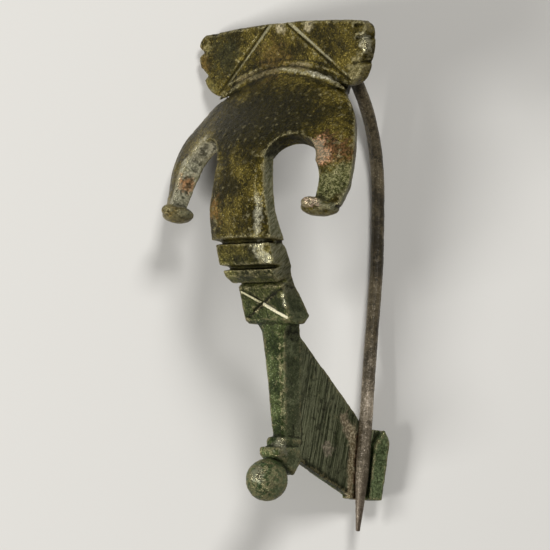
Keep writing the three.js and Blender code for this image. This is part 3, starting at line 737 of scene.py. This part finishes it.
def axle_metal():
    """Rust-stained bronze of the axle."""
    material, tree, shader, where = new_material("stained axle", {"Metallic": 0.3})
    tree.links.new(mottled(tree, where, "axle"), shader.inputs["Base Color"])
    skin = use(tree, "pitting", Where=where, Grain=3.5, Pits=0.4)
    tree.links.new(between(tree, skin["Height"], 0.2, 0.8, 0.75, 0.5), shader.inputs["Roughness"])
    dent(tree, shader, skin["Height"], 0.6, 0.05)
    return material


# ---------------------------------------------------------------- pin

PIN_SKIN = 0.09                       # size of the skin's meshes, in millimetres
RUBBED_FROM = (-33.0, -43.0)          # where the pin turns from brown to bright, in y
TIP_FROM = (-51.0, -56.0)             # where it darkens towards its tip, in y
TIP_BROWN = "#4a3e32"
PIN_PITS = "#1c1813"


def swing_pin():
    """The pin, slightly uneven along its length, with its eye round the axle."""
    pin = merged_copy("pin", "swing_pin")
    finish_with(pin, "REMESH", mode="VOXEL", voxel_size=PIN_SKIN * MM)
    finish_with(pin, "SMOOTH", factor=0.5, iterations=6)
    roughen(pin, "forged unevenness", 2.4, 0.10)
    roughen(pin, "pin grain", 0.5, 0.03)
    bpy.ops.object.shade_smooth()
    return pin


def pin_metal():
    """Brown-grey drawn metal, rubbed bright along the lower half of its length."""
    material, tree, shader, where = new_material("drawn pin", {"Specular IOR Level": 0.6})
    skin = use(tree, "pitting", Where=where, Grain=4.5, Pits=0.3)
    parts = add_node(tree, "ShaderNodeSeparateXYZ", {0: where}).outputs
    low = between(tree, parts["Y"], *RUBBED_FROM)
    colour = mixed(tree, low, mottled(tree, where, "pin"), mottled(tree, where, "rubbed pin"))
    colour = mixed(tree, between(tree, parts["Y"], *TIP_FROM, 0.0, 0.75), colour, tint(TIP_BROWN))
    colour = mixed(tree, skin["Pits"], colour, tint(PIN_PITS))
    tree.links.new(colour, shader.inputs["Base Color"])
    dull = between(tree, noise(tree, where, 2.4, 4.0, 0.6), 0.3, 0.7, 0.34, 0.5)
    tree.links.new(dull, shader.inputs["Roughness"])
    tree.links.new(maths(tree, "ADD", maths(tree, "MULTIPLY", low, 0.3), 0.25), shader.inputs["Metallic"])
    dent(tree, shader, skin["Height"], 0.7, 0.06)
    return material


# ---------------------------------------------------------------- dressing the brooch

DRESSED = [
    (cast_body, patina, "body", "brooch_body", "bronze_patina"),
    (axle_rod, axle_metal, "body", "hinge_axle", "axle_metal"),
    (swing_pin, pin_metal, "swing", "pin", "pin_metal"),
]
for make, material_of, body, node, slot in DRESSED:
    piece = make()
    piece.data.materials.append(material_of())
    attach(piece, body)
    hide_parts(node)


# ---------------------------------------------------------------- floor, lights and camera

def pale_floor():
    """A plain pale floor under the brooch."""
    bpy.ops.object.select_all(action="DESELECT")
    bpy.ops.mesh.primitive_plane_add(size=4.0)
    floor = bpy.context.object
    floor.name = "floor"
    material = bpy.data.materials.new("pale floor")
    material.use_nodes = True
    shader = material.node_tree.nodes["Principled BSDF"]
    shader.inputs["Base Color"].default_value = tint("#d6d4cf")
    shader.inputs["Roughness"].default_value = 0.9
    floor.data.materials.append(material)


LIGHTS = [        # name, direction in the maker's frame, and power in watts
    ("left light", (-0.11, -0.39, 0.91), 4.6),
    ("right light", (0.633, 0.656, 0.411), 3.2),
]
LIGHT_DISTANCE = 0.7
LIGHT_SIZE = 0.2
SURROUND = {"colour": (1.0, 0.96, 0.9, 1), "strength": 0.13}


def soft_light(name, towards, power):
    """A square soft box in a direction of the maker's frame, turned to the brooch."""
    light = bpy.data.lights.new(name, "AREA")
    light.shape = "SQUARE"
    light.size = LIGHT_SIZE
    light.energy = power
    lamp = bpy.data.objects.new(name, light)
    at = heading(*towards)
    lamp.location = at * LIGHT_DISTANCE
    lamp.rotation_mode = "QUATERNION"
    lamp.rotation_quaternion = (-at).to_track_quat("-Z", "Y")
    bpy.context.scene.collection.objects.link(lamp)


def studio():
    """Two soft boxes, low at the left and above the right end of the head, and a dim surround."""
    for name, towards, power in LIGHTS:
        soft_light(name, towards, power)
    world = bpy.data.worlds.new("studio")
    world.use_nodes = True
    background = world.node_tree.nodes["Background"]
    background.inputs["Color"].default_value = SURROUND["colour"]
    background.inputs["Strength"].default_value = SURROUND["strength"]
    bpy.context.scene.world = world


# Angles in degrees, and the distance and the lens in millimetres.
CAMERA = {"azimuth": 45.0, "below": 6.5, "roll": 4.5, "distance": 461.5, "lens": 235.6, "sensor": 36}
LOOKS_AT = (-1.28, -27.95)      # middle of the view, in mm to the right and up of the maker's origin


def camera():
    """Looks down on the brooch, from its front right and a little from below its foot."""
    azimuth, below, roll = (math.radians(CAMERA[k]) for k in ("azimuth", "below", "roll"))
    ahead = Vector((math.sin(azimuth), 0, math.cos(azimuth)))
    back = ahead * math.cos(below) - Vector((0, math.sin(below), 0))
    level = Vector((math.cos(azimuth), 0, -math.sin(azimuth)))
    upright = back.cross(level)
    right = level * math.cos(roll) + upright * math.sin(roll)
    up = upright * math.cos(roll) - level * math.sin(roll)
    stand = back * CAMERA["distance"] + right * LOOKS_AT[0] + up * LOOKS_AT[1]
    lens = bpy.data.cameras.new("camera")
    lens.lens = CAMERA["lens"]
    lens.sensor_width = CAMERA["sensor"]
    lens.clip_start = 0.01
    eye = bpy.data.objects.new("camera", lens)
    axes = Matrix((heading(*right), heading(*up), heading(*back))).transposed().to_4x4()
    eye.matrix_world = Matrix.Translation(place(*stand)) @ axes
    bpy.context.scene.collection.objects.link(eye)
    bpy.context.scene.camera = eye


pale_floor()
studio()
camera()
bpy.context.scene.view_settings.view_transform = "Standard"
